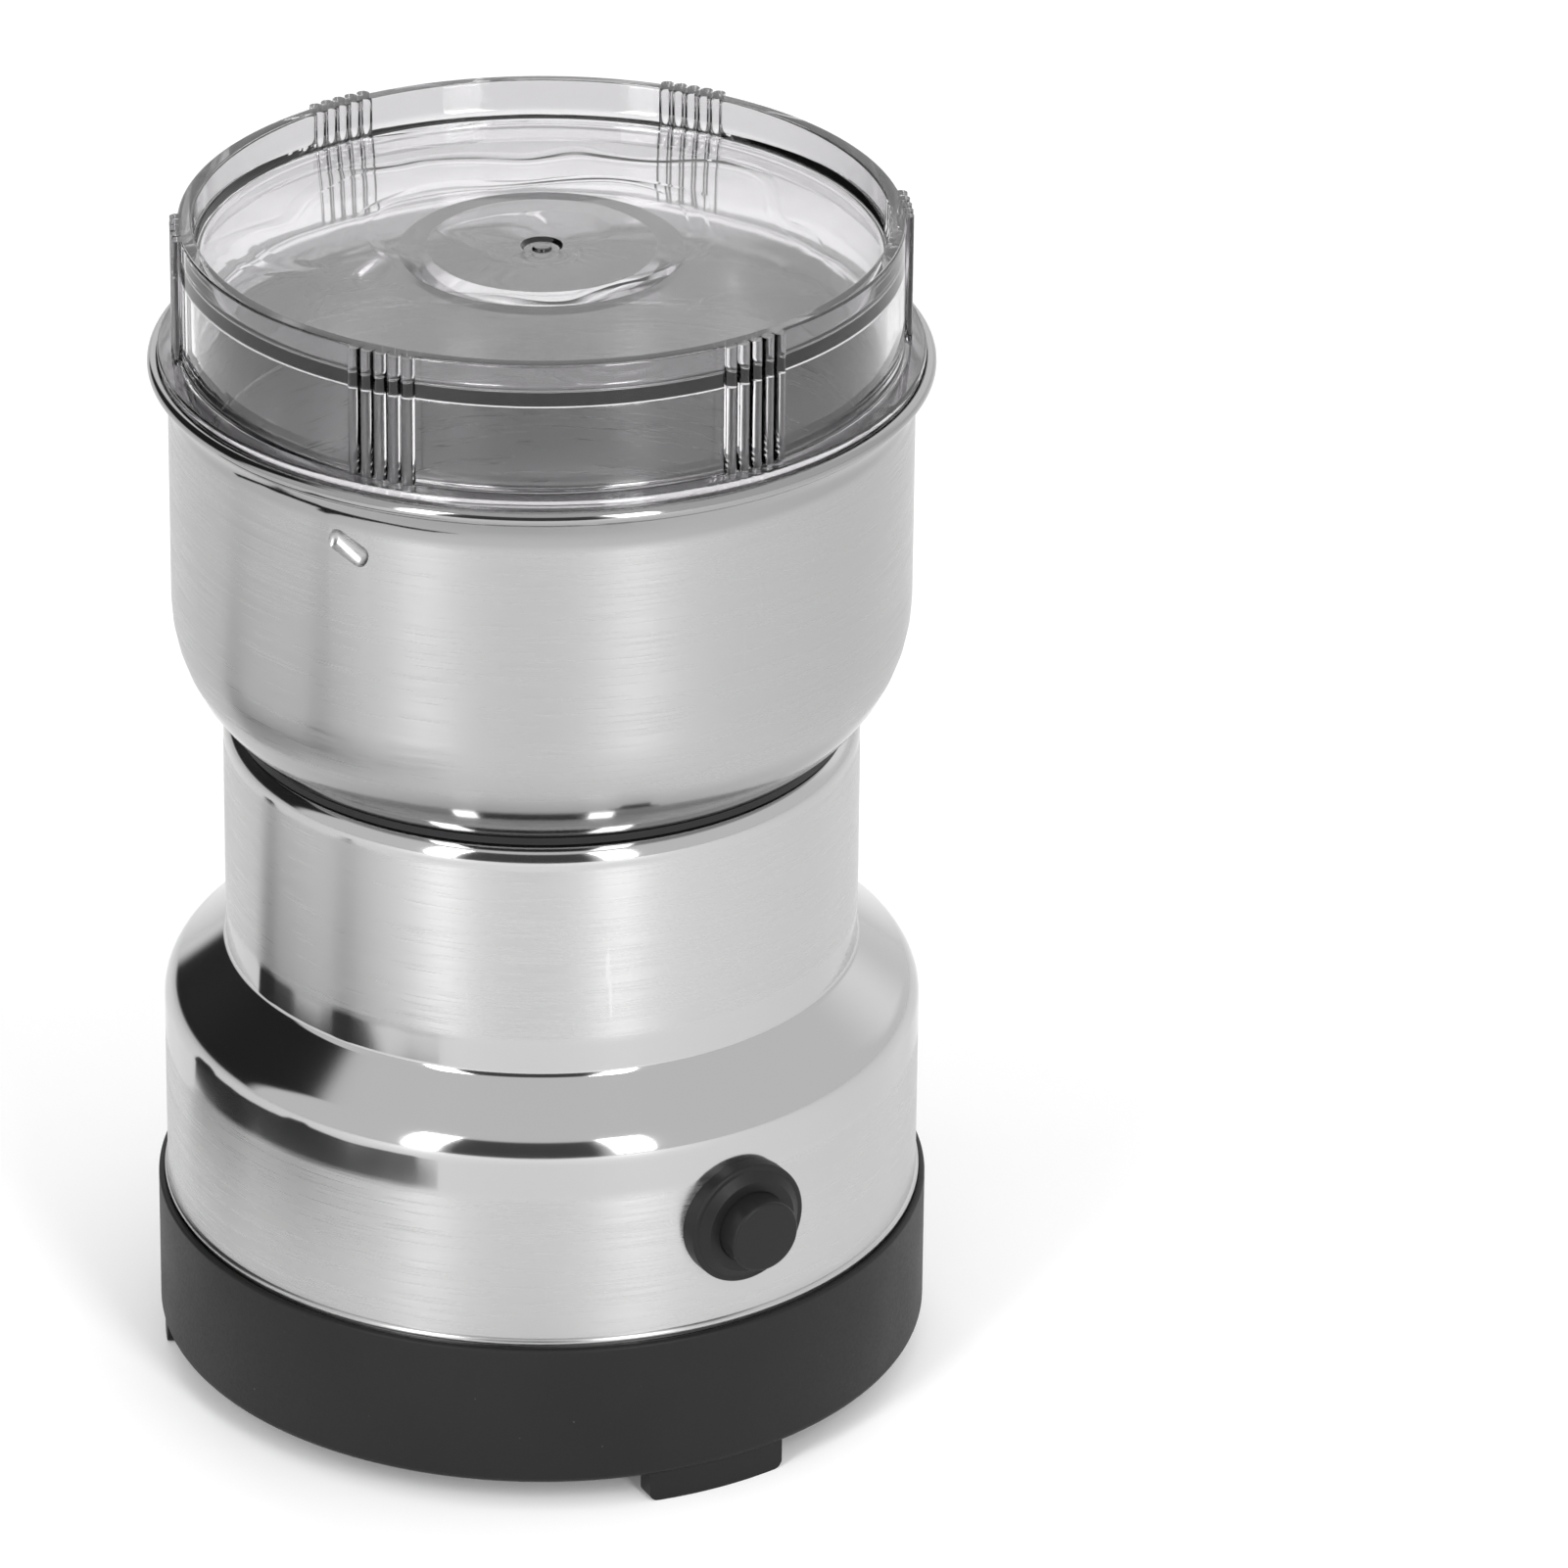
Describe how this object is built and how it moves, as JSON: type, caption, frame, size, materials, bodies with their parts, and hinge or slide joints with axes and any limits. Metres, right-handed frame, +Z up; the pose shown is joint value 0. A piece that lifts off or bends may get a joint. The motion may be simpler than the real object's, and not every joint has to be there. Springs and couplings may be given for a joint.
{
  "type": "electric spice grinder",
  "caption": "Electric spice grinder: clear lift-off lid, steel bowl with a two-winged blade, steel motor body, dark plastic base and a front push button.",
  "frame": {"origin": "on the surface that the feet stand on, under the grinder's axis", "axes": "+Z up along the motor's axis, the button faces -Y, the cord inlet faces +Y"},
  "size_m": [0.1046, 0.1134, 0.165],
  "materials": {
    "dark_plastic": "fine matte texture",
    "black_plastic": "satin",
    "zinc_steel": "zinc plated",
    "black_rubber": "matte",
    "brushed_sheet": "brushed round the axis",
    "blade_steel": "polished",
    "core_steel": "stacked sheets",
    "copper_wire": "enamelled wire",
    "copper_bar": "turned",
    "sintered_bronze": "matte",
    "sheet_brass": "bright",
    "carbon": "matte",
    "spring_steel": "bright wire",
    "red_insulation": "satin",
    "pale_nylon": "satin",
    "ivory_plastic": "satin",
    "smoky_plastic": "clear, smoke tinted"
  },
  "bodies": {
    "grinder": {"base_cup": "dark_plastic", "base_screws": "zinc_steel", "cord_gland": "black_rubber", "body_shell": "brushed_sheet", "top_bracket": "dark_plastic", "bottom_bracket": "dark_plastic", "motor_bolts": "zinc_steel", "stator_core": "core_steel", "field_coils": "copper_wire", "upper_bush": "sintered_bronze", "lower_bush": "sintered_bronze", "brush_holders": "sheet_brass", "carbon_brushes": "carbon", "brush_springs": "spring_steel", "motor_leads": "red_insulation", "bowl": "brushed_sheet", "bowl_screws": "zinc_steel", "bowl_seal": "black_rubber", "button_bezel": "dark_plastic", "bezel_nut": "dark_plastic", "button_spring": "spring_steel", "switch_body": "ivory_plastic", "switch_contacts": "sheet_brass"},
    "lid": {"lid": "smoky_plastic"},
    "button": {"button_cap": "black_plastic", "contact_bridge": "sheet_brass"},
    "rotor": {"motor_shaft": "zinc_steel", "armature_core": "core_steel", "armature_windings": "copper_wire", "commutator": "copper_bar", "thrust_washers": "pale_nylon", "cooling_fan": "pale_nylon", "blade": "blade_steel", "blade_washer": "zinc_steel", "blade_nut": "zinc_steel"}
  },
  "joints": [
    {"name": "lid_lift", "type": "slide", "parent": "grinder", "child": "lid", "axis": [0, 0, 1], "range_m": [0, 0.05]},
    {"name": "button_press", "type": "slide", "parent": "grinder", "child": "button", "axis": [0, 1, 0], "range_m": [0, 0.0025], "stiffness_N_per_m": 600, "springref_m": -0.002, "deforming": ["button_spring"]},
    {"name": "rotor_spin", "type": "hinge", "parent": "grinder", "child": "rotor", "pos_m": [0, 0, 0.1], "axis": [0, 0, 1], "continuous": true}
  ]
}
